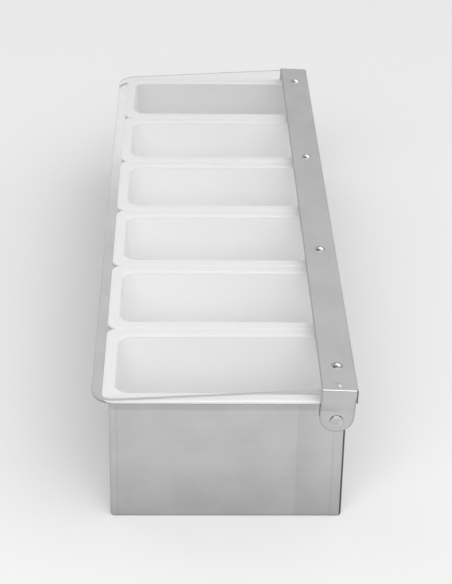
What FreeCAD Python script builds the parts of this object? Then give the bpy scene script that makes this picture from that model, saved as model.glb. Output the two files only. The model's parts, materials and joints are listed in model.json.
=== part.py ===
import FreeCAD, Part
import math
import os

# Garnish tray: a folded steel box that carries a row of lift-out inserts under a hinged clear lid.
# Millimetres and degrees, +Z up. X runs along the tray, the front is at -Y and the hinge at +Y.
# The origin is the middle of the box's underside.

# Inserts
insert_count = 6
cavity_length = 64.4
cavity_depth = 129.2
cavity_height = 64.0
cavity_corner_radius = 9.0
cavity_floor_radius = 5.0
cavity_mouth_radius = 1.4
insert_wall = 1.6
insert_draft = 3.0
rim_end_width = 8.45
rim_gap = 0.4
rim_thickness = 1.5
rim_corner_radius = 7.0
rim_edge_radius = 0.6
rim_side_overhang = 3.7
rim_end_overhang = 0.6

# Box
box_sheet = 0.9
box_bend_radius = 2.0
insert_side_gap = 0.9
floor_gap = 13.4
corner_return = 10.8
front_flange_width = 10.1
front_flange_corner_radius = 14.0
back_flange_width = 2.5
flange_bend_radius = 1.0

# Hinge strip
strip_sheet = 1.0
strip_tilt = 2.2
strip_rise = 9.35
strip_bend_radius = 1.5
lip_height = 9.0
lip_gap = 0.9
lip_end_setback = 0.4
strip_width = 20.0
ear_round_rise = 3.0
ear_standoff = 1.1
ear_rim_gap = 0.3
ear_crease_height = 6.9
ear_joggle_height = 5.7
ear_joggle_radius = 2.0
pip_radius = 2.4
pip_height = 0.5
pip_end_setback = 5.0
pip_offset = -0.65

# Pivots
pivot_inset = 5.8
pivot_drop = 11.0
stud_radius = 3.9
stud_clearance = 0.05
stud_proud = 1.0
stud_edge_chamfer = 0.25
stud_collar_radius = 5.5
stud_collar_gap = 0.2
stud_dimple_radius = 1.1
stud_dimple_depth = 0.35
spigot_radius = 2.5
spigot_clearance = 0.05
stud_washer_radius = 4.2
stud_washer_thickness = 0.8
stud_tail_radius = 3.3
stud_tail_height = 1.0

# Lid
lid_thickness = 1.5
lid_rest_gap = 0.25
lid_end_overhang = 0.6
lid_lip_gap = 0.6

# Lid rivets
rivet_count = 4
rivet_end_setback = 26.5
rivet_head_radius = 3.5
rivet_head_height = 1.6
rivet_shank_radius = 1.6
rivet_clearance = 0.05
rivet_washer_radius = 4.0
rivet_washer_thickness = 0.5
rivet_tail_radius = 2.6
rivet_tail_height = 0.7

# Swaged tails narrow to this part of their radius at the end, over this part of their height
tail_end_share = 0.7
tail_taper_share = 0.5

# Cuts run past the faces they open by this much
overrun = 5.0

# Edges are matched to a level or an outline within this much
edge_tolerance = 0.01

# Places that follow from the sizes
insert_pitch = cavity_length + 2 * rim_end_width + rim_gap
rims_half_length = (insert_count * insert_pitch - rim_gap) / 2
box_half_length = rims_half_length - rim_end_overhang
box_half_depth = cavity_depth / 2 + insert_wall + insert_side_gap + box_sheet
box_height = box_sheet + floor_gap + cavity_height + insert_wall - rim_thickness
rim_half_depth = box_half_depth + rim_side_overhang
rim_top = box_height + rim_thickness
flange_front = -box_half_depth - front_flange_width

pivot_y = box_half_depth - pivot_inset
pivot_z = box_height - pivot_drop
tilt = math.radians(strip_tilt)
ear_radius = (rim_half_depth + lip_gap - pivot_y - pivot_drop * math.sin(tilt)) / math.cos(tilt)
strip_front = ear_radius - strip_width
strip_height = pivot_drop + rim_thickness + strip_rise
ear_upper_inside = rims_half_length + ear_standoff
ear_upper_outside = ear_upper_inside + strip_sheet
ear_lower_inside = rims_half_length + ear_rim_gap
ear_lower_outside = ear_lower_inside + strip_sheet
stud_face = ear_lower_outside + stud_proud
rivet_line = (strip_front + ear_radius + strip_sheet) / 2
rivet_spacing = 2 * (ear_upper_outside - rivet_end_setback) / (rivet_count - 1)
rivet_places = [(index - (rivet_count - 1) / 2) * rivet_spacing for index in range(rivet_count)]
lid_under_strip = strip_height - strip_sheet - lid_thickness

along_x = FreeCAD.Vector(1, 0, 0)
along_y = FreeCAD.Vector(0, 1, 0)
along_z = FreeCAD.Vector(0, 0, 1)


# Sketch planes: each turns a point of a flat sketch into a point in space

def on_plan(level):
    return lambda across, along: FreeCAD.Vector(across, along, level)


def on_side(station):
    return lambda across, up: FreeCAD.Vector(station, across, up)


def on_front(station):
    return lambda across, up: FreeCAD.Vector(across, station, up)


# General helpers

def outline_face(corners, radii, place):
    """A flat face through the corners, with each corner rounded by its own radius."""
    count = len(corners)
    turns = []
    for index in range(count):
        corner = FreeCAD.Vector(*corners[index])
        before = (FreeCAD.Vector(*corners[index - 1]) - corner).normalize()
        after = (FreeCAD.Vector(*corners[(index + 1) % count]) - corner).normalize()
        half_angle = before.getAngle(after) / 2
        reach = radii[index] / math.tan(half_angle)
        inward = (before + after).normalize()
        depth = radii[index] / math.sin(half_angle) - radii[index]
        turns.append((corner + before * reach, corner + inward * depth, corner + after * reach))
    edges = []
    for index in range(count):
        start, middle, end = [place(point.x, point.y) for point in turns[index]]
        if radii[index] > 0:
            edges.append(Part.Arc(start, middle, end).toShape())
        next_turn = turns[(index + 1) % count]
        next_start = place(next_turn[0].x, next_turn[0].y)
        if not next_start.isEqual(end, Part.Precision.confusion()):
            edges.append(Part.makeLine(end, next_start))
    return Part.Face(Part.Wire(edges))


def rectangle(low_a, low_b, high_a, high_b):
    return [(low_a, low_b), (high_a, low_b), (high_a, high_b), (low_a, high_b)]


def turned(profile, axis_place, base, axis):
    """A solid of revolution from a closed profile of (radius, height) points."""
    face = outline_face(profile, [0] * len(profile), axis_place)
    return face.revolve(base, axis, 360)


def mirrored(shape):
    return shape.mirror(FreeCAD.Vector(0, 0, 0), along_x)


def level_edges(shape, level, low_x, low_y, high_x, high_y):
    """Edges that lie at one level, inside a plan window."""
    found = []
    for edge in shape.Edges:
        box = edge.BoundBox
        flat = abs(box.ZMin - level) < edge_tolerance and abs(box.ZMax - level) < edge_tolerance
        inside = box.XMin > low_x and box.XMax < high_x and box.YMin > low_y and box.YMax < high_y
        if flat and inside:
            found.append(edge)
    return found


# Box: wrap and end panels

def rounded_box(half_length, half_depth, floor, bend_radius):
    """A block open to the sky: round upright corners, round long bottom edges."""
    top = box_height + overrun
    plan = rectangle(-half_length, -half_depth, half_length, half_depth)
    upright = outline_face(plan, [bend_radius] * 4, on_plan(floor)).extrude(along_z * top)
    side = rectangle(-half_depth, floor, half_depth, top)
    radii = [bend_radius, bend_radius, 0, 0]
    bent = outline_face(side, radii, on_side(-half_length)).extrude(along_x * (2 * half_length))
    return upright.common(bent)


def flange_bend(wall, outward):
    """The rounded inside of the fold between a long wall and its flange."""
    length = 2 * (box_half_length - box_bend_radius)
    start = FreeCAD.Vector(-length / 2, wall, box_height - box_sheet)
    block = Part.makeBox(length, flange_bend_radius, flange_bend_radius,
                         start + FreeCAD.Vector(0, min(0, outward * flange_bend_radius), -flange_bend_radius))
    centre = start + FreeCAD.Vector(0, outward * flange_bend_radius, -flange_bend_radius)
    return block.cut(Part.makeCylinder(flange_bend_radius, length, centre, along_x))


def make_box_shell():
    """The whole folded box before the end panels are parted from it."""
    inner = rounded_box(box_half_length - box_sheet, box_half_depth - box_sheet, box_sheet,
                        box_bend_radius - box_sheet)
    outer = rounded_box(box_half_length, box_half_depth, 0, box_bend_radius)
    sky = Part.makeBox(4 * box_half_length, 4 * box_half_depth, 2 * overrun,
                       FreeCAD.Vector(-2 * box_half_length, -2 * box_half_depth, box_height))
    plan = rectangle(-box_half_length, flange_front, box_half_length, box_half_depth + back_flange_width)
    radii = [front_flange_corner_radius] * 2 + [box_bend_radius] * 2
    flange = outline_face(plan, radii, on_plan(box_height - box_sheet)).extrude(along_z * box_sheet)
    shell = outer.cut(sky).fuse([flange, flange_bend(-box_half_depth, -1), flange_bend(box_half_depth, 1)])
    return shell.removeSplitter().cut(inner)


def end_window():
    """The space that the right end panel fills, between the two corner returns."""
    half_width = box_half_depth - corner_return
    start = FreeCAD.Vector(box_half_length - box_sheet, -half_width, -overrun)
    return Part.makeBox(box_sheet + overrun, 2 * half_width, box_height + 2 * overrun, start)


def spigot_hole():
    start = FreeCAD.Vector(box_half_length - box_sheet - overrun, pivot_y, pivot_z)
    return Part.makeCylinder(spigot_radius + spigot_clearance, box_sheet + 2 * overrun, start, along_x)


def make_box():
    shell = make_box_shell()
    window = end_window()
    right = shell.common(window)
    wrap = shell.cut(window).cut(mirrored(window)).cut(spigot_hole()).cut(mirrored(spigot_hole()))
    return wrap, right, mirrored(right)


# Inserts

def tapered_tub(middle, length, depth, floor, corner_radius, floor_radius):
    """A drafted tub: its mouth size is at the rim's top, and its walls run on past the top."""
    slope = math.tan(math.radians(insert_draft))
    top = rim_top + overrun

    def ring(level):
        spread = (level - rim_top) * slope
        plan = rectangle(-length / 2 - spread, -depth / 2 - spread, length / 2 + spread, depth / 2 + spread)
        return [FreeCAD.Vector(middle + x, y, level) for x, y in plan]

    low = ring(floor)
    high = ring(top)
    sides = [[low[i], low[(i + 1) % 4], high[(i + 1) % 4], high[i]] for i in range(4)]
    faces = [Part.Face(Part.makePolygon(loop + loop[:1])) for loop in sides + [low, high]]
    tub = Part.Solid(Part.Shell(faces))
    upright = [edge for edge in tub.Edges if edge.BoundBox.ZLength > cavity_height / 2]
    tub = tub.makeFillet(corner_radius, upright)
    wide = 2 * rims_half_length
    loop = level_edges(tub, floor, -wide, -wide, wide, wide)
    return tub.makeFillet(floor_radius, loop)


def make_insert(middle):
    half_length = (insert_pitch - rim_gap) / 2
    plan = rectangle(middle - half_length, -rim_half_depth, middle + half_length, rim_half_depth)
    rim = outline_face(plan, [rim_corner_radius] * 4, on_plan(box_height)).extrude(along_z * rim_thickness)
    cavity_floor = rim_top - cavity_height
    outside = tapered_tub(middle, cavity_length + 2 * insert_wall, cavity_depth + 2 * insert_wall,
                          cavity_floor - insert_wall, cavity_corner_radius + insert_wall,
                          cavity_floor_radius + insert_wall)
    cavity = tapered_tub(middle, cavity_length, cavity_depth, cavity_floor, cavity_corner_radius,
                         cavity_floor_radius)
    sky = Part.makeBox(insert_pitch, 4 * rim_half_depth, 2 * overrun,
                       FreeCAD.Vector(middle - insert_pitch / 2, -2 * rim_half_depth, rim_top))
    solid = outside.cut(sky).fuse(rim).removeSplitter().cut(cavity)
    reach = rim_end_width / 2
    mouth = level_edges(solid, rim_top, middle - half_length + reach, -rim_half_depth + reach,
                        middle + half_length - reach, rim_half_depth - reach)
    solid = solid.makeFillet(cavity_mouth_radius, mouth)
    top = level_edges(solid, rim_top, middle - insert_pitch, -2 * rim_half_depth,
                      middle + insert_pitch, 2 * rim_half_depth)
    edge_loop = [edge for edge in top if on_rim_edge(edge, middle, half_length)]
    return solid.makeFillet(rim_edge_radius, edge_loop)


def on_rim_edge(edge, middle, half_length):
    """True for the rim's outer top edges: they reach the rim's outermost corners."""
    box = edge.BoundBox
    near_end = max(abs(box.XMin - middle), abs(box.XMax - middle)) > half_length - edge_tolerance
    near_side = max(abs(box.YMin), abs(box.YMax)) > rim_half_depth - edge_tolerance
    return near_end or near_side


# Hinge strip, drawn upright about the pivot axis and then tilted with the closed lid

def in_place(shape):
    """Turns a piece drawn about the pivot axis to the closed lid's tilt, and carries it to the pivots."""
    placed = shape.copy()
    placed.rotate(FreeCAD.Vector(0, 0, 0), along_x, -strip_tilt)
    placed.translate(FreeCAD.Vector(0, pivot_y, pivot_z))
    return placed


def make_strip_with_lip():
    corners = [(strip_front, strip_height - strip_sheet), (ear_radius, strip_height - strip_sheet),
               (ear_radius, strip_height - lip_height), (ear_radius + strip_sheet, strip_height - lip_height),
               (ear_radius + strip_sheet, strip_height), (strip_front, strip_height)]
    radii = [0, strip_bend_radius - strip_sheet, 0, 0, strip_bend_radius, 0]
    half_length = ear_upper_outside - lip_end_setback
    return outline_face(corners, radii, on_side(-half_length)).extrude(along_x * (2 * half_length))


def make_ears():
    """The strip's flat with an ear folded down at each end, stepped in below the inserts' rims."""
    bottom = ear_round_rise - ear_radius
    step_top = ear_crease_height + ear_joggle_height
    under = strip_height - strip_sheet
    right_outside = [(ear_lower_outside, bottom), (ear_lower_outside, ear_crease_height),
                     (ear_upper_outside, step_top), (ear_upper_outside, strip_height)]
    right_inside = [(ear_upper_inside, under), (ear_upper_inside, step_top),
                    (ear_lower_inside, ear_crease_height), (ear_lower_inside, bottom)]
    outside_radii = [0, ear_joggle_radius, ear_joggle_radius, strip_bend_radius]
    inside_radii = [strip_bend_radius - strip_sheet, ear_joggle_radius, ear_joggle_radius, 0]
    left_outside = [(-x, z) for x, z in reversed(right_outside)]
    left_inside = [(-x, z) for x, z in reversed(right_inside)]
    corners = right_outside + left_outside + left_inside + right_inside
    radii = outside_radii + outside_radii[::-1] + inside_radii[::-1] + inside_radii
    folded = outline_face(corners, radii, on_front(strip_front)).extrude(along_y * strip_width)
    side = rectangle(strip_front, bottom, ear_radius, strip_height + overrun)
    clip = outline_face(side, [-strip_front, ear_radius, 0, 0], on_side(-2 * ear_upper_outside))
    return folded.common(clip.extrude(along_x * (4 * ear_upper_outside)))


def make_pip():
    """Low round stiffening pip by the right ear's fold."""
    ball_radius = (pip_radius ** 2 + pip_height ** 2) / (2 * pip_height)
    middle = FreeCAD.Vector(ear_upper_outside - pip_end_setback, pip_offset,
                            strip_height + pip_height - ball_radius)
    ball = Part.makeSphere(ball_radius, middle)
    above = Part.makeBox(2 * pip_radius, 2 * pip_radius, pip_height + strip_sheet / 2,
                         middle + FreeCAD.Vector(-pip_radius, -pip_radius,
                                                 ball_radius - pip_height - strip_sheet / 2))
    return ball.common(above)


def rivet_holes(low, high):
    radius = rivet_shank_radius + rivet_clearance
    holes = [Part.makeCylinder(radius, high - low, FreeCAD.Vector(x, rivet_line, low), along_z)
             for x in rivet_places]
    return Part.makeCompound(holes)


def make_hinge_strip():
    strip = make_ears().fuse(make_strip_with_lip()).removeSplitter()
    strip = strip.fuse([make_pip(), mirrored(make_pip())])
    bore = Part.makeCylinder(stud_radius + stud_clearance, 4 * ear_upper_outside,
                             FreeCAD.Vector(-2 * ear_upper_outside, 0, 0), along_x)
    strip = strip.cut(bore)
    return in_place(strip.cut(rivet_holes(strip_height - strip_sheet - overrun, strip_height + overrun)))


# Lid

def tilted_point(across, up):
    """Side-view place, in the tray's frame, of a point given about the pivot axis."""
    return (pivot_y + across * math.cos(tilt) + up * math.sin(tilt),
            pivot_z - across * math.sin(tilt) + up * math.cos(tilt))


def make_lid_panel():
    """Clear sheet: it rises from the front rims to the strip and has a slight line bend there."""
    bend_y, bend_z = tilted_point(strip_front, lid_under_strip)
    rear_y, rear_z = tilted_point(ear_radius - lid_lip_gap, lid_under_strip)
    rise = math.atan2(bend_z - rim_top - lid_rest_gap, bend_y + rim_half_depth)
    front_z = bend_z - (bend_y - flange_front) * math.tan(rise)
    front_up = FreeCAD.Vector(-math.sin(rise), math.cos(rise))
    rear_up = FreeCAD.Vector(math.sin(tilt), math.cos(tilt))
    bend_up = (front_up + rear_up) * (1 / (1 + front_up.dot(rear_up)))
    lower = [(flange_front, front_z), (bend_y, bend_z), (rear_y, rear_z)]
    upper = [(y + up.x * lid_thickness, z + up.y * lid_thickness)
             for (y, z), up in zip(lower, (front_up, bend_up, rear_up))]
    half_length = rims_half_length + lid_end_overhang
    corners = lower + upper[::-1]
    side = outline_face(corners, [0] * len(corners), on_side(-half_length))
    sheet = side.extrude(along_x * (2 * half_length))
    plan = rectangle(-half_length, flange_front, half_length, rear_y + overrun)
    radii = [front_flange_corner_radius] * 2 + [0, 0]
    trim = outline_face(plan, radii, on_plan(0)).extrude(along_z * (pivot_z + 2 * strip_height))
    return sheet.common(trim).cut(in_place(rivet_holes(lid_under_strip - overrun, strip_height)))


# Rivets and studs

def make_rivet(x):
    base = FreeCAD.Vector(x, rivet_line, 0)
    ball_radius = (rivet_head_radius ** 2 + rivet_head_height ** 2) / (2 * rivet_head_height)
    ball = Part.makeSphere(ball_radius, base + along_z * (strip_height + rivet_head_height - ball_radius))
    dome_space = Part.makeCylinder(rivet_head_radius + rivet_clearance, rivet_head_height,
                                   base + along_z * strip_height)
    tail_top = lid_under_strip - rivet_washer_thickness
    tail_end = tail_top - rivet_tail_height
    taper = tail_end + rivet_tail_height * tail_taper_share
    profile = [(0, tail_end), (rivet_tail_radius * tail_end_share, tail_end), (rivet_tail_radius, taper),
               (rivet_tail_radius, tail_top), (rivet_shank_radius, tail_top),
               (rivet_shank_radius, strip_height), (0, strip_height)]
    stem = turned(profile, lambda radius, up: FreeCAD.Vector(x + radius, rivet_line, up), base, along_z)
    return in_place(ball.common(dome_space).fuse(stem).removeSplitter())


def make_rivet_washer(x):
    start = FreeCAD.Vector(x, rivet_line, lid_under_strip - rivet_washer_thickness)
    disc = Part.makeCylinder(rivet_washer_radius, rivet_washer_thickness, start)
    hole = Part.makeCylinder(rivet_shank_radius + rivet_clearance, rivet_washer_thickness, start)
    return in_place(disc.cut(hole))


def make_pivot_stud():
    """Right stud: a journal for the ear, a collar against the end panel and a tail swaged inside it."""
    collar_face = ear_lower_inside - stud_collar_gap
    washer_face = box_half_length - box_sheet - stud_washer_thickness
    tail_end = washer_face - stud_tail_height
    taper = tail_end + stud_tail_height * tail_taper_share
    profile = [(0, tail_end), (stud_tail_radius * tail_end_share, tail_end), (stud_tail_radius, taper),
               (stud_tail_radius, washer_face), (spigot_radius, washer_face),
               (spigot_radius, box_half_length), (stud_collar_radius, box_half_length),
               (stud_collar_radius, collar_face), (stud_radius, collar_face),
               (stud_radius, stud_face - stud_edge_chamfer), (stud_radius - stud_edge_chamfer, stud_face),
               (stud_dimple_radius, stud_face), (0, stud_face - stud_dimple_depth)]
    base = FreeCAD.Vector(0, pivot_y, pivot_z)
    return turned(profile, lambda radius, along: FreeCAD.Vector(along, pivot_y, pivot_z + radius),
                  base, along_x)


def make_stud_washer():
    """Right washer: it lies on the corner return's flat, and is trimmed where the corner's bend begins."""
    start = FreeCAD.Vector(box_half_length - box_sheet - stud_washer_thickness, pivot_y, pivot_z)
    disc = Part.makeCylinder(stud_washer_radius, stud_washer_thickness, start, along_x)
    hole = Part.makeCylinder(spigot_radius + spigot_clearance, stud_washer_thickness, start, along_x)
    bend_start = FreeCAD.Vector(start.x, box_half_depth - box_bend_radius, pivot_z - stud_washer_radius)
    bend = Part.makeBox(stud_washer_thickness, 2 * stud_washer_radius, 2 * stud_washer_radius, bend_start)
    return disc.cut([hole, bend])


# The pieces, each in a node of its own

def make_nodes():
    nodes = {}
    nodes["body_wrap"], nodes["end_panel_right"], nodes["end_panel_left"] = make_box()
    for index in range(insert_count):
        middle = (index - (insert_count - 1) / 2) * insert_pitch
        nodes[f"insert_{index + 1}"] = make_insert(middle)
    nodes["lid_panel"] = make_lid_panel()
    nodes["hinge_strip"] = make_hinge_strip()
    nodes["lid_rivets"] = Part.makeCompound([make_rivet(x) for x in rivet_places])
    nodes["rivet_washers"] = Part.makeCompound([make_rivet_washer(x) for x in rivet_places])
    nodes["pivot_stud_right"] = make_pivot_stud()
    nodes["pivot_stud_left"] = mirrored(nodes["pivot_stud_right"])
    nodes["stud_washer_right"] = make_stud_washer()
    nodes["stud_washer_left"] = mirrored(nodes["stud_washer_right"])
    return nodes


os.makedirs("parts", exist_ok=True)
for name, shape in make_nodes().items():
    shape.exportStep(f"parts/{name}.step")
    print(f"{name}: {len(shape.Solids)} solids, {shape.Volume:.0f} mm3, valid {shape.isValid()}")
print(f"pivot axis at y {pivot_y:.3f}, z {pivot_z:.3f}")
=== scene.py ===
# %% [markdown]
# # Dressing a bar garnish tray
# The tray is already built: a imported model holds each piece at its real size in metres, with the lid on
# its hinge. A CAD model has shapes but no surfaces, so this lesson adds what a photograph shows beyond
# shape: rolled and brushed steel, milky moulded plastic, a clear lid to look through, a camera and light.

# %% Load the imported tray
import json
import math

import bpy
from mathutils import Matrix, Vector

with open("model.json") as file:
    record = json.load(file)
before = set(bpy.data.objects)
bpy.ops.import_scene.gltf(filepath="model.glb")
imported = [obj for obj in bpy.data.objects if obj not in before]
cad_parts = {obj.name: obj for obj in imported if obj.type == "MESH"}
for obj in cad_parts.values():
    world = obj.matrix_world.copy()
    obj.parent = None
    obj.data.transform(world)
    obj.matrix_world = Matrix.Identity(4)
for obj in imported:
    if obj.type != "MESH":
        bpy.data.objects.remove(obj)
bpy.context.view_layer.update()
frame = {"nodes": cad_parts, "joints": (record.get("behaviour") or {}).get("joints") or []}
pieces = frame["nodes"]
millimetre = 0.001

# %% [markdown]
# ## Camera
# The photograph looks down the length of the tray from its right-hand end. A lens this long, from more
# than a metre away, keeps the two long sides nearly parallel. The aim, the angles and the distance were
# solved from the tray's own corners, so the picture's frame and the model's frame agree, and the focal
# length is the one that gives that view in an image of 584 rows.

# %% Camera
image_rows = 584
focal_length_rows = 1719.4
sensor_size = 36.0
camera_aim = Vector((0, 4.7, 16.45)) * millimetre
camera_distance = 1221.4 * millimetre
camera_elevation = math.radians(28.743)
camera_turn = math.radians(-1.619)
camera_roll = math.radians(1.013)


def make_camera():
    level = math.cos(camera_elevation)
    forward = Vector((-level * math.cos(camera_turn), -level * math.sin(camera_turn),
                      -math.sin(camera_elevation)))
    right = Vector((-math.sin(camera_turn), math.cos(camera_turn), 0))
    up = right.cross(forward)
    rolled_right = right * math.cos(camera_roll) + up * math.sin(camera_roll)
    rolled_up = up * math.cos(camera_roll) - right * math.sin(camera_roll)
    lens = bpy.data.cameras.new("tray_camera")
    lens.sensor_width = sensor_size
    lens.lens = focal_length_rows * sensor_size / image_rows
    camera = bpy.data.objects.new("tray_camera", lens)
    bpy.context.scene.collection.objects.link(camera)
    turn = Matrix((rolled_right, rolled_up, -forward)).transposed()
    camera.matrix_world = Matrix.Translation(camera_aim - forward * camera_distance) @ turn.to_4x4()
    return camera


bpy.context.scene.camera = make_camera()
bpy.context.scene.view_settings.view_transform = "Standard"
print(f"camera at {[round(place, 3) for place in bpy.context.scene.camera.location]} m")

# %% [markdown]
# ## Small tools for shader nodes
# A material is a tree of nodes. These helpers keep each tree short to read: one adds a node and fills its
# inputs, where a socket is linked and a plain value is typed in, and the others do arithmetic and mixing.

# %% Node helpers
mix_sockets = {"FLOAT": (2, 3, 0), "VECTOR": (4, 5, 1), "RGBA": (6, 7, 2)}


def add_node(tree, kind, inputs=None, **settings):
    node = tree.nodes.new(kind)
    for name, value in settings.items():
        setattr(node, name, value)
    for key, value in (inputs or {}).items():
        if isinstance(value, bpy.types.NodeSocket):
            tree.links.new(value, node.inputs[key])
        else:
            node.inputs[key].default_value = value
    return node


def calculate(tree, operation, first, second=0.0, third=0.0):
    node = add_node(tree, "ShaderNodeMath", {0: first, 1: second, 2: third}, operation=operation)
    return node.outputs[0]


def mix(tree, kind, factor, first, second):
    low, high, result = mix_sockets[kind]
    node = add_node(tree, "ShaderNodeMix", {0: factor, low: first, high: second}, data_type=kind)
    return node.outputs[result]


def remap(tree, value, low, high, new_low, new_high, smooth=True):
    easing = "SMOOTHSTEP" if smooth else "LINEAR"
    inputs = {0: value, 1: low, 2: high, 3: new_low, 4: new_high}
    return add_node(tree, "ShaderNodeMapRange", inputs, interpolation_type=easing).outputs[0]


def grey(level):
    return (level, level, level, 1.0)


def start_group(name, inputs, outputs):
    """A shader node group with named sockets: inputs are (title, kind, value), outputs (title, kind)."""
    tree = bpy.data.node_groups.new(name, "ShaderNodeTree")
    for title, kind, value in inputs:
        socket = tree.interface.new_socket(title, in_out="INPUT", socket_type=kind)
        socket.default_value = value
    for title, kind in outputs:
        tree.interface.new_socket(title, in_out="OUTPUT", socket_type=kind)
    return tree, tree.nodes.new("NodeGroupInput"), tree.nodes.new("NodeGroupOutput")


def use_group(tree, group, inputs=None):
    node = add_node(tree, "ShaderNodeGroup", node_tree=group)
    for title, value in (inputs or {}).items():
        if isinstance(value, bpy.types.NodeSocket):
            tree.links.new(value, node.inputs[title])
        else:
            node.inputs[title].default_value = value
    return node


def start_material(name):
    material = bpy.data.materials.new(name)
    material.use_nodes = True
    tree = material.node_tree
    return material, tree, tree.nodes["Principled BSDF"]


print("node helpers ready")

# %% [markdown]
# ## Which way the strokes run
# Brushed steel is ground along the sheet, and a folded end shows the strokes in another direction. This
# group turns a point on a piece into millimetres along the stroke and across it. It reads the piece's own
# coordinates and normal, so the finish stays on the lid when the lid swings. On faces that look along the
# tray the strokes run level, or upright where a strip was folded down.

# %% Group: stroke space
end_face_limit = 0.7
millimetres_in_a_metre = 1000.0


def make_stroke_space():
    tree, entry, leave = start_group(
        "stroke_space",
        [("Ends Upright", "NodeSocketFloat", 0.0)],
        [("Strokes", "NodeSocketVector"), ("End Face", "NodeSocketFloat")])
    coordinates = add_node(tree, "ShaderNodeTexCoord")
    normal = add_node(tree, "ShaderNodeSeparateXYZ", {0: coordinates.outputs["Normal"]})
    place = add_node(tree, "ShaderNodeSeparateXYZ", {0: coordinates.outputs["Object"]})
    x, y, z = (place.outputs[axis] for axis in "XYZ")
    sideways = calculate(tree, "ABSOLUTE", normal.outputs["X"])
    end_face = calculate(tree, "GREATER_THAN", sideways, end_face_limit)
    level = add_node(tree, "ShaderNodeCombineXYZ", {"X": y, "Y": x, "Z": z}).outputs[0]
    upright = add_node(tree, "ShaderNodeCombineXYZ", {"X": z, "Y": x, "Z": y}).outputs[0]
    ends = mix(tree, "VECTOR", entry.outputs["Ends Upright"], level, upright)
    strokes = mix(tree, "VECTOR", end_face, coordinates.outputs["Object"], ends)
    scaled = add_node(tree, "ShaderNodeVectorMath", {0: strokes, "Scale": millimetres_in_a_metre},
                      operation="SCALE")
    tree.links.new(scaled.outputs[0], leave.inputs["Strokes"])
    tree.links.new(end_face, leave.inputs["End Face"])
    return tree


stroke_space = make_stroke_space()
print("group", stroke_space.name)

# %% [markdown]
# ## Brush lines
# A belt leaves long thin scratches. Noise stretched along the stroke gives them: one layer of fine lines
# and one of broad, faint streaks that can be seen from further off. The group gives a tone and a height,
# so each steel can take as much of either as its finish needs.

# %% Group: brush lines
streak_width_ratio = 7.0
streak_length_ratio = 2.5
fine_part = 0.5


def make_brush_lines():
    tree, entry, leave = start_group(
        "brush_lines",
        [("Strokes", "NodeSocketVector", (0.0, 0.0, 0.0)), ("Line Length", "NodeSocketFloat", 40.0),
         ("Line Width", "NodeSocketFloat", 0.2)],
        [("Tone", "NodeSocketFloat"), ("Height", "NodeSocketFloat")])

    def stretched_noise(length_ratio, width_ratio, detail):
        length = calculate(tree, "MULTIPLY", entry.outputs["Line Length"], length_ratio)
        width = calculate(tree, "MULTIPLY", entry.outputs["Line Width"], width_ratio)
        size = add_node(tree, "ShaderNodeCombineXYZ", {"X": length, "Y": width, "Z": width}).outputs[0]
        scaled = add_node(tree, "ShaderNodeVectorMath", {0: entry.outputs["Strokes"], 1: size},
                          operation="DIVIDE")
        inputs = {"Vector": scaled.outputs[0], "Scale": 1.0, "Detail": detail}
        return add_node(tree, "ShaderNodeTexNoise", inputs).outputs[0]

    lines = stretched_noise(1.0, 1.0, 2.0)
    streaks = stretched_noise(streak_length_ratio, streak_width_ratio, 3.0)
    tone = mix(tree, "FLOAT", fine_part, streaks, lines)
    tree.links.new(tone, leave.inputs["Tone"])
    tree.links.new(lines, leave.inputs["Height"])
    return tree


brush_lines = make_brush_lines()
print("group", brush_lines.name)

# %% [markdown]
# ## Soft patches
# No sheet or moulding is one even tone. Rolling haze on steel, wiped finger marks and slight flow marks in
# plastic are all soft patches, some centimetres wide. One group makes them for every material.

# %% Group: soft patches
def make_soft_patches():
    tree, entry, leave = start_group(
        "soft_patches",
        [("Patch Size", "NodeSocketFloat", 30.0), ("Shift", "NodeSocketFloat", 0.0)],
        [("Patches", "NodeSocketFloat")])
    coordinates = add_node(tree, "ShaderNodeTexCoord")
    scale = calculate(tree, "DIVIDE", millimetres_in_a_metre, entry.outputs["Patch Size"])
    place = add_node(tree, "ShaderNodeVectorMath", {0: coordinates.outputs["Object"], "Scale": scale},
                     operation="SCALE")
    moved = add_node(tree, "ShaderNodeVectorMath", {0: place.outputs[0], 1: entry.outputs["Shift"]},
                     operation="ADD")
    noise = add_node(tree, "ShaderNodeTexNoise", {"Vector": moved.outputs[0], "Scale": 1.0, "Detail": 3.0})
    tree.links.new(remap(tree, noise.outputs[0], 0.3, 0.7, 0.0, 1.0), leave.inputs["Patches"])
    return tree


soft_patches = make_soft_patches()
print("group", soft_patches.name)

# %% [markdown]
# ## Steel sheet
# The box and the hinge strip are stainless sheet. Steel has no colour of its own beneath the shine: it is a
# tinted mirror, roughened by the grinding. So the material is fully metallic, the brush lines and patches
# move its tint and its roughness a little, and the lines also lift the surface through a bump. A last
# factor dims the tint at the marks that a sheet gets when it is cut and folded, and adds painted shade.

# %% Steel sheet
slight_turn = 0.3
mark_edge = 0.4


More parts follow.
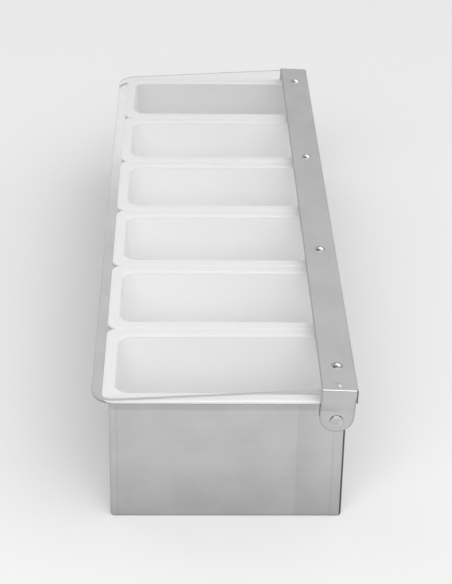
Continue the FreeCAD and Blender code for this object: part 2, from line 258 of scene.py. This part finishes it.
def make_steel_sheet(name, tint, roughness, line_length, line_width, patch_size, marks, ends_upright=0.0):
    material, tree, shader = start_material(name)
    space = use_group(tree, stroke_space, {"Ends Upright": ends_upright})
    lines = use_group(tree, brush_lines, {"Strokes": space.outputs["Strokes"], "Line Length": line_length,
                                          "Line Width": line_width})
    patches = use_group(tree, soft_patches, {"Patch Size": patch_size})
    spread = calculate(tree, "MULTIPLY", patches.outputs["Patches"], 0.4)
    shade = calculate(tree, "MULTIPLY_ADD", lines.outputs["Tone"], 0.6, spread)
    level = remap(tree, shade, 0.0, 1.0, tint * 0.90, tint * 1.10, smooth=False)
    tree.links.new(calculate(tree, "MULTIPLY", level, marks(tree)), shader.inputs["Base Color"])
    rough = remap(tree, shade, 0.2, 0.8, roughness * 0.85, roughness * 1.15)
    tree.links.new(rough, shader.inputs["Roughness"])
    bump = add_node(tree, "ShaderNodeBump", {"Strength": 0.12, "Distance": 0.02 * millimetre,
                                             "Height": lines.outputs["Height"]})
    tree.links.new(bump.outputs[0], shader.inputs["Normal"])
    shader.inputs["Metallic"].default_value = 1.0
    return material


def place_and_facing(tree):
    """The point in millimetres and the way the surface looks, both along the piece's own X, Y and Z."""
    coordinates = add_node(tree, "ShaderNodeTexCoord")
    place = add_node(tree, "ShaderNodeVectorMath", {0: coordinates.outputs["Object"],
                                                    "Scale": millimetres_in_a_metre}, operation="SCALE")
    split = add_node(tree, "ShaderNodeSeparateXYZ", {0: place.outputs[0]})
    facing = add_node(tree, "ShaderNodeSeparateXYZ", {0: coordinates.outputs["Normal"]})
    return [split.outputs[axis] for axis in "XYZ"], [facing.outputs[axis] for axis in "XYZ"]


def size_of(tree, value):
    return calculate(tree, "ABSOLUTE", value)


def over(tree, value, limit):
    return calculate(tree, "GREATER_THAN", value, limit)


def under(tree, value, limit):
    return calculate(tree, "LESS_THAN", value, limit)


def all_of(tree, *masks):
    whole = masks[0]
    for mask in masks[1:]:
        whole = calculate(tree, "MULTIPLY", whole, mask)
    return whole


def dimmed(tree, factor, mask, amount):
    """The factor, less this share of it where the mask is 1."""
    return calculate(tree, "MULTIPLY", factor, remap(tree, mask, 0.0, 1.0, 1.0, 1.0 - amount, smooth=False))


print("steel sheet ready")

# %% [markdown]
# ## Marks and painted shade on the box
# On the ends of the box a few faint things break up the plain steel. A line runs upright near each corner,
# where the end was pressed flat beside the fold. The belt that ground the end made two passes, and the
# second starts with a darker edge. Just under the rims a band is painted darker, a painted shadow of the
# rims' overhang, and towards the foot the steel is painted darker, a painted reflection of the shaded floor
# in front. The front corner's fold gets a little painted shade, and the hinge-side corner a dark painted
# line.

# %% Material: box steel
press_line_place = 62.45
press_line_shift = 1.15
second_pass_start = 40.4
second_pass_end = 57.0
# Painted shade: a band under the rims, a fall towards the foot, the front corner's fold and a line at the
# hinge-side corner.
under_rim_shade_top = 74.6
under_rim_shade_bottom = 72.8
contact_shade_top = 38.0
foot_top = 2.0
front_corner_start = -66.8
front_corner_full = -67.4
shaded_corner_start = 66.5
shaded_corner_full = 66.9
flange_underside = 77.5


def box_marks_and_shade(tree):
    (x, y, z), (across, along, up) = place_and_facing(tree)
    end_face = over(tree, size_of(tree, across), end_face_limit)
    shifted = size_of(tree, calculate(tree, "ADD", y, press_line_shift))
    from_line = size_of(tree, calculate(tree, "SUBTRACT", shifted, press_line_place))
    press_line = all_of(tree, end_face, remap(tree, from_line, 0.3, 0.9, 1.0, 0.0))
    pass_edge = remap(tree, y, second_pass_start - mark_edge, second_pass_start, 0.0, 1.0)
    pass_fade = remap(tree, y, second_pass_start, second_pass_end, 1.0, 0.0, smooth=False)
    # Painted shadow of the rims' overhang, in a band just under them.
    under_rim_shade = all_of(tree, end_face, remap(tree, z, under_rim_shade_bottom, under_rim_shade_top, 0.0, 1.0))
    turned = over(tree, size_of(tree, across), slight_turn)
    # Painted reflection of the shaded floor in front: darker towards the foot, darker still at the very
    # foot.
    contact_shade = all_of(tree, turned, remap(tree, z, 0.0, contact_shade_top, 1.0, 0.0, smooth=False))
    foot = all_of(tree, turned, remap(tree, z, 0.0, foot_top, 1.0, 0.0))
    # Painted shade on the front corner's fold.
    front_corner = all_of(tree, turned, remap(tree, y, front_corner_start, front_corner_full, 0.0, 1.0))
    # Painted shade: a dark line at the hinge-side corner, for the shaded floor that the corner mirrors.
    corner = all_of(tree, turned, remap(tree, y, shaded_corner_start, shaded_corner_full, 0.0, 1.0))
    upright = under(tree, size_of(tree, up), slight_turn)
    flange_edge = all_of(tree, upright, over(tree, z, flange_underside))
    factor = dimmed(tree, 1.0, press_line, 0.07)
    factor = dimmed(tree, factor, all_of(tree, end_face, pass_edge, pass_fade), 0.08)
    factor = dimmed(tree, factor, under_rim_shade, 0.14)
    factor = dimmed(tree, factor, contact_shade, 0.17)
    factor = dimmed(tree, factor, foot, 0.2)
    factor = dimmed(tree, factor, front_corner, 0.12)
    factor = dimmed(tree, factor, corner, 0.85)
    return dimmed(tree, factor, flange_edge, 0.2)


box_steel = make_steel_sheet("box_steel", 0.54, 0.11, 60.0, 0.25, 24.0, box_marks_and_shade)
print("material", box_steel.name)

# %% [markdown]
# ## Sheared edges and painted shade on the strip
# The hinge strip was cut with shears before it was folded. A sheared edge is rough and dark beside the
# brushed face, so the edges of the ears and the ends of the rear lip are dimmed; the ear edges are dimmed
# further as painted shade for the gap beside each ear. A soft dark outline of painted shade runs along the
# strip's front edge and round each ear. To find it, a point is measured about the hinge axis, in the strip's
# own slight lean: the ear is as wide as the strip and its foot is a half circle. Each ear gets painted shade
# just above the crease, more on the lid's side, and each fold a little painted shade that dims its
# highlight.

# %% Material: strip steel
hinge_axis_place = Vector(frame["joints"][0]["pos_m"])
strip_lean = math.radians(2.2)
strip_half_width = 10.0
foot_centre = 3.0
# Sizes of the painted shade: the outline's width and the band above the crease.
outline_shade_width = 0.9
crease_height = 6.9
crease_shade_height = 11.5
crease_shade_side_start = -4.0
crease_shade_side_end = 5.0
ear_place = 245.0
ear_top = 83.0
lip_place = 72.9


def about_hinge(tree, y, z):
    """A point's place across the strip and up from the hinge axis, in the strip's own lean."""
    back = calculate(tree, "SUBTRACT", y, hinge_axis_place.y / millimetre)
    high = calculate(tree, "SUBTRACT", z, hinge_axis_place.z / millimetre)
    back_part = calculate(tree, "MULTIPLY", back, math.cos(strip_lean))
    across = calculate(tree, "MULTIPLY_ADD", high, -math.sin(strip_lean), back_part)
    high_part = calculate(tree, "MULTIPLY", high, math.cos(strip_lean))
    return across, calculate(tree, "MULTIPLY_ADD", back, math.sin(strip_lean), high_part)


def from_outline(tree, across, up, on_ear):
    """How far inside the strip's front edge, or inside the whole ear's outline, a point lies."""
    forward = calculate(tree, "MAXIMUM", calculate(tree, "MULTIPLY", across, -1.0), 0.0)
    side = mix(tree, "FLOAT", on_ear, forward, size_of(tree, across))
    below = calculate(tree, "MINIMUM", calculate(tree, "SUBTRACT", up, foot_centre), 0.0)
    arm = add_node(tree, "ShaderNodeCombineXYZ", {"X": side, "Y": below}).outputs[0]
    reach = add_node(tree, "ShaderNodeVectorMath", {0: arm}, operation="LENGTH").outputs["Value"]
    return calculate(tree, "SUBTRACT", strip_half_width, reach)


def strip_marks_and_shade(tree):
    (x, y, z), (facing, along, upward) = place_and_facing(tree)
    across, up = about_hinge(tree, y, z)
    sideways = size_of(tree, facing)
    on_ear = all_of(tree, over(tree, size_of(tree, x), ear_place), under(tree, z, ear_top))
    # Sheared edges of the ears, dimmed further as painted shade for the gap beside each ear.
    ear_edge = all_of(tree, on_ear, under(tree, sideways, slight_turn))
    lip_end = all_of(tree, over(tree, y, lip_place), over(tree, sideways, end_face_limit))
    # Painted shade: a soft dark outline along the front edge and round each ear.
    outline_shade = remap(tree, from_outline(tree, across, up, on_ear), outline_shade_width / 2, outline_shade_width, 1.0, 0.0)
    # Painted shade just above the crease, more on the lid's side.
    above_crease = remap(tree, up, crease_height - mark_edge, crease_height, 0.0, 1.0)
    below_top = remap(tree, up, crease_height, crease_shade_height, 1.0, 0.0, smooth=False)
    lid_side = remap(tree, across, crease_shade_side_start, crease_shade_side_end, 1.0, 0.15)
    # Painted shade on the fold, which dims its highlight.
    bend = all_of(tree, over(tree, sideways, slight_turn), over(tree, upward, slight_turn))
    factor = dimmed(tree, 1.0, outline_shade, 0.25)
    factor = dimmed(tree, factor, all_of(tree, on_ear, above_crease, below_top, lid_side), 0.14)
    factor = dimmed(tree, factor, bend, 0.1)
    factor = dimmed(tree, factor, ear_edge, 0.8)
    return dimmed(tree, factor, lip_end, 0.65)


strip_steel = make_steel_sheet("strip_steel", 0.54, 0.2, 45.0, 0.22, 30.0, strip_marks_and_shade, ends_upright=1.0)
print("material", strip_steel.name)

# %% [markdown]
# ## Turned steel and polished rivets
# The pivot studs come off a lathe, so their faces carry fine rings about the hinge axis, and their sides are
# painted dark, as painted shade for the gap round each stud where the ears turn. The rivets are set by a
# polished die: smooth, with only a breath of haze.

# %% Material: studs, washers and rivets
ring_pitch = 0.18 * millimetre
stud_face_limit = 0.5


def make_turned_steel():
    material, tree, shader = start_material("stud_steel")
    coordinates = add_node(tree, "ShaderNodeTexCoord")
    arm = add_node(tree, "ShaderNodeVectorMath", {0: coordinates.outputs["Object"], 1: hinge_axis_place},
                   operation="SUBTRACT")
    flat = add_node(tree, "ShaderNodeVectorMath", {0: arm.outputs[0], 1: (0.0, 1.0, 1.0)},
                    operation="MULTIPLY")
    length = add_node(tree, "ShaderNodeVectorMath", {0: flat.outputs[0]}, operation="LENGTH")
    radius = length.outputs["Value"]
    rings = calculate(tree, "SINE", calculate(tree, "MULTIPLY", radius, 2 * math.pi / ring_pitch))
    patches = use_group(tree, soft_patches, {"Patch Size": 3.0})
    facing = add_node(tree, "ShaderNodeSeparateXYZ", {0: coordinates.outputs["Normal"]}).outputs["X"]
    face = over(tree, size_of(tree, facing), stud_face_limit)
    steel = mix(tree, "RGBA", patches.outputs["Patches"], grey(0.52), grey(0.60))
    # The stud's sides are painted dark: painted shade for the gap round it.
    tree.links.new(mix(tree, "RGBA", face, grey(0.25), steel), shader.inputs["Base Color"])
    tree.links.new(remap(tree, rings, -1.0, 1.0, 0.24, 0.34), shader.inputs["Roughness"])
    bump = add_node(tree, "ShaderNodeBump", {"Strength": 0.1, "Distance": 0.01 * millimetre,
                                             "Height": rings})
    tree.links.new(bump.outputs[0], shader.inputs["Normal"])
    shader.inputs["Metallic"].default_value = 1.0
    return material


def make_bright_metal(name, dark, light, smooth, rough):
    material, tree, shader = start_material(name)
    patches = use_group(tree, soft_patches, {"Patch Size": 1.8}).outputs["Patches"]
    tree.links.new(mix(tree, "RGBA", patches, grey(dark), grey(light)), shader.inputs["Base Color"])
    tree.links.new(remap(tree, patches, 0.0, 1.0, smooth, rough), shader.inputs["Roughness"])
    shader.inputs["Metallic"].default_value = 1.0
    return material


stud_steel = make_turned_steel()
rivet_metal = make_bright_metal("rivet_metal", 0.38, 0.46, 0.08, 0.16)
washer_steel = make_bright_metal("washer_steel", 0.52, 0.60, 0.25, 0.38)
print("materials", stud_steel.name, rivet_metal.name, washer_steel.name)

# %% [markdown]
# ## Insert plastic
# The inserts are moulded in a white plastic that is slightly milky: light goes in about half a millimetre
# and comes out again, which softens the shadows in the cavities. Subsurface scattering does that, and a
# deeper scatter would only make the thin walls look dirty. The end walls and the outermost rim edges are
# painted greyer, a painted shade for the dark steel behind the two ends of the row, which gives the thin
# walls there no light from behind, and the other rim edges get a little painted shade. They are told apart
# by place and facing, which both ride with the piece.
# The skin has the fine satin texture of the mould and faint patches where the plastic flowed.

# %% Material: insert plastic
satin_grain = 0.35
end_insert_start = 0.1634
end_wall_painted_shade = 0.74
outer_edge_start = 0.19
outer_edge_full = 0.235
outer_edge_painted_shade = 0.70
rim_underside = 0.0782
rim_edge_painted_shade = 0.87


def make_insert_plastic():
    material, tree, shader = start_material("insert_plastic")
    patches = use_group(tree, soft_patches, {"Patch Size": 45.0, "Shift": 3.0})
    coordinates = add_node(tree, "ShaderNodeTexCoord")
    place = add_node(tree, "ShaderNodeSeparateXYZ", {0: coordinates.outputs["Object"]})
    facing = add_node(tree, "ShaderNodeSeparateXYZ", {0: coordinates.outputs["Normal"]}).outputs["X"]
    x = place.outputs["X"]
    inward = calculate(tree, "MULTIPLY", facing, calculate(tree, "SIGN", x))
    end_insert = over(tree, size_of(tree, x), end_insert_start)
    # Painted shade on the end walls, which get no light through from behind.
    end_wall = all_of(tree, end_insert, remap(tree, inward, -0.1, -0.6, 0.0, 1.0))
    above_underside = over(tree, place.outputs["Z"], rim_underside)
    # A little painted shade on the rim edges.
    rim_edge = all_of(tree, above_underside, remap(tree, size_of(tree, facing), 0.2, 0.8, 0.0, 1.0))
    outward = calculate(tree, "MULTIPLY", x, facing)
    # Painted shade on the outermost rim edges at the ends of the row.
    outer_edge = remap(tree, outward, outer_edge_start, outer_edge_full, 0.0, 1.0)
    white = mix(tree, "RGBA", patches.outputs["Patches"], grey(0.965), grey(0.985))
    walls = mix(tree, "RGBA", end_wall, white, grey(end_wall_painted_shade))
    walls = mix(tree, "RGBA", rim_edge, walls, grey(rim_edge_painted_shade))
    tree.links.new(mix(tree, "RGBA", outer_edge, walls, grey(outer_edge_painted_shade)), shader.inputs["Base Color"])
    tree.links.new(remap(tree, patches.outputs["Patches"], 0.0, 1.0, 0.42, 0.5), shader.inputs["Roughness"])
    grain = add_node(tree, "ShaderNodeTexNoise", {"Vector": coordinates.outputs["Object"], "Detail": 2.0,
                                                  "Scale": millimetres_in_a_metre / satin_grain})
    bump = add_node(tree, "ShaderNodeBump", {"Strength": 0.06, "Distance": 0.02 * millimetre,
                                             "Height": grain.outputs[0]})
    tree.links.new(bump.outputs[0], shader.inputs["Normal"])
    shader.inputs["Subsurface Weight"].default_value = 1.0
    shader.inputs["Subsurface Radius"].default_value = (1.0, 1.0, 1.0)
    shader.inputs["Subsurface Scale"].default_value = 0.55 * millimetre
    return material


insert_plastic = make_insert_plastic()
print("material", insert_plastic.name)

# %% [markdown]
# ## Clear lid
# The lid is a clear sheet, so it is glass with the refraction of acrylic. Real glass would throw sharp
# caustics that a studio photograph doesn't show and a renderer is slow to find, so light on its way to a
# lamp passes straight through, by the Light Path node, and only the camera's rays bend and shine. The sawn
# edges scatter light and look grey: their faces are told apart by the way they look.

# %% Material: clear lid
def make_clear_lid():
    material, tree, shader = start_material("clear_lid")
    patches = use_group(tree, soft_patches, {"Patch Size": 60.0, "Shift": 7.0})
    bump = add_node(tree, "ShaderNodeBump", {"Strength": 0.05, "Distance": 0.2 * millimetre,
                                             "Height": patches.outputs["Patches"]})
    tree.links.new(bump.outputs[0], shader.inputs["Normal"])
    shader.inputs["Base Color"].default_value = grey(0.98)
    shader.inputs["Roughness"].default_value = 0.0
    shader.inputs["IOR"].default_value = 1.49
    shader.inputs["Transmission Weight"].default_value = 1.0
    clear = add_node(tree, "ShaderNodeBsdfTransparent", {"Color": grey(0.97)})
    path = add_node(tree, "ShaderNodeLightPath")
    dull = calculate(tree, "MAXIMUM", path.outputs["Is Shadow Ray"], path.outputs["Is Diffuse Ray"])
    blurred = calculate(tree, "SUBTRACT", path.outputs["Is Glossy Ray"], path.outputs["Is Singular Ray"])
    passing = calculate(tree, "MAXIMUM", dull, blurred)
    sheet = add_node(tree, "ShaderNodeMixShader", {0: passing, 1: shader.outputs[0], 2: clear.outputs[0]})
    sawn = add_node(tree, "ShaderNodeBsdfPrincipled", {"Base Color": grey(0.55), "Roughness": 0.4})
    coordinates = add_node(tree, "ShaderNodeTexCoord")
    normal = add_node(tree, "ShaderNodeSeparateXYZ", {0: coordinates.outputs["Normal"]})
    edge = under(tree, size_of(tree, normal.outputs["Z"]), end_face_limit)
    whole = add_node(tree, "ShaderNodeMixShader", {0: edge, 1: sheet.outputs[0], 2: sawn.outputs[0]})
    tree.links.new(whole.outputs[0], tree.nodes["Material Output"].inputs["Surface"])
    return material


clear_lid = make_clear_lid()
print("material", clear_lid.name)

# %% [markdown]
# ## Put the finishes on
# Each piece keeps its CAD mesh, and only the material in its slot changes. The names say what a piece is,
# so a short table of name beginnings is enough.

# %% Assign the finishes
finishes = {"body_wrap": box_steel, "end_panel": box_steel, "insert": insert_plastic, "lid_panel": clear_lid,
            "hinge_strip": strip_steel, "lid_rivets": rivet_metal, "rivet_washers": washer_steel,
            "pivot_stud": stud_steel, "stud_washer": washer_steel}

for name, piece in pieces.items():
    material = next(finish for start, finish in finishes.items() if name.startswith(start))
    for slot in piece.material_slots:
        slot.material = material
    print(name, "takes", material.name)

# %% [markdown]
# ## Floor
# A studio for a white catalogue picture stands the object on a pale sheet that runs far out of the picture.
# One wide square with a dull, nearly white finish does for it.

# %% Floor
floor_size = 12.0


def make_floor():
    half = floor_size / 2
    mesh = bpy.data.meshes.new("floor")
    corners = [(-half, -half, 0), (half, -half, 0), (half, half, 0), (-half, half, 0)]
    mesh.from_pydata(corners, [], [(0, 1, 2, 3)])
    floor = bpy.data.objects.new("floor", mesh)
    bpy.context.scene.collection.objects.link(floor)
    material, tree, shader = start_material("pale_floor")
    shader.inputs["Base Color"].default_value = grey(0.93)
    shader.inputs["Roughness"].default_value = 0.9
    mesh.materials.append(material)
    return floor


make_floor()
print("floor", floor_size, "m wide")

# %% [markdown]
# ## Room
# Brushed metal only shows what stands around it, so the room's shades matter as much as the lamps. An image
# of a studio could be wrapped about the scene, but a few smooth steps by direction are easier to steer: the
# side near the camera is bright, which the end of the box mirrors, the far side is dimmer towards the
# horizon, which the top of the strip mirrors, and one dark patch gives the steel something to set off
# against.

# %% Room
far_light = 0.88
horizon_light = 0.66
near_light = 1.38
top_light = 0.55
dark_side = (0.12, -0.72, 0.68)


def make_room():
    room = bpy.data.worlds.new("studio_room")
    room.use_nodes = True
    tree = room.node_tree
    coordinates = add_node(tree, "ShaderNodeTexCoord")
    way = add_node(tree, "ShaderNodeSeparateXYZ", {0: coordinates.outputs["Generated"]})
    far = remap(tree, way.outputs["Z"], 0.33, 0.44, horizon_light, far_light)
    near = remap(tree, way.outputs["Z"], 0.12, 0.38, 0.25, near_light)
    around = mix(tree, "FLOAT", remap(tree, way.outputs["X"], 0.0, 0.5, 0.0, 1.0), far, near)
    shade = mix(tree, "FLOAT", remap(tree, way.outputs["Z"], 0.82, 0.96, 0.0, 1.0), around, top_light)
    turned = add_node(tree, "ShaderNodeVectorMath", {0: coordinates.outputs["Generated"], 1: dark_side},
                      operation="DOT_PRODUCT").outputs["Value"]
    shade = calculate(tree, "MULTIPLY", shade, remap(tree, turned, 0.86, 0.95, 1.0, 0.12))
    tree.nodes["Background"].inputs["Color"].default_value = grey(1.0)
    tree.links.new(shade, tree.nodes["Background"].inputs["Strength"])
    bpy.context.scene.world = room


make_room()
print("room", bpy.context.scene.world.name)

# %% [markdown]
# ## Lamps
# One wide soft lamp stands in front of the near end and lights the rims and the walls in the same measure.
# A studio adds small lamps and white cards for single pieces, hidden by flags from the rest. Light linking
# is the flag here: the rivets get a lamp of their own from behind, which makes their sharp spark, the strip
# gets a weaker one, also from behind, for the pip by each fold, and the box's front flange gets a card to
# mirror. The wide lamp leaves out the clear lid, which would show it as a hard white patch from the far
# end.

# %% Lamps
def add_lamp(name, place, target, width, height, brightness):
    lamp = bpy.data.lights.new(name, "AREA")
    lamp.shape = "RECTANGLE"
    lamp.size = width
    lamp.size_y = height
    lamp.energy = brightness * math.pi * width * height
    holder = bpy.data.objects.new(name, lamp)
    holder.location = place
    holder.rotation_euler = (Vector(target) - Vector(place)).to_track_quat("-Z", "Y").to_euler()
    bpy.context.scene.collection.objects.link(holder)
    return holder


def link_light(holder, names, state):
    """Let this lamp light only the named pieces, or every piece but those."""
    receivers = bpy.data.collections.new(holder.name + "_receivers")
    for name in names:
        receivers.objects.link(pieces[name])
    for entry in receivers.collection_objects:
        entry.light_linking.link_state = state
    holder.light_linking.receiver_collection = receivers


front_lamp = add_lamp("front_lamp", (1.25, -0.1, 1.05), (0, 0, 0.05), 1.5, 1.1, 1.36)
rivet_lamp = add_lamp("rivet_lamp", (-0.45, 0.4, 1.2), (0, 0, 0.09), 1.3, 1.1, 1.7)
strip_lamp = add_lamp("strip_lamp", (-0.75, 0.75, 1.2), (0, 0, 0), 0.8, 0.8, 0.75)
flange_card = add_lamp("flange_card", (-2.0, -0.6, 0.46), (0, -0.1, 0.1), 1.2, 1.03, 0.74)
link_light(front_lamp, ["lid_rivets", "lid_panel"], "EXCLUDE")
link_light(rivet_lamp, ["lid_rivets"], "INCLUDE")
link_light(strip_lamp, ["hinge_strip"], "INCLUDE")
link_light(flange_card, ["body_wrap"], "INCLUDE")
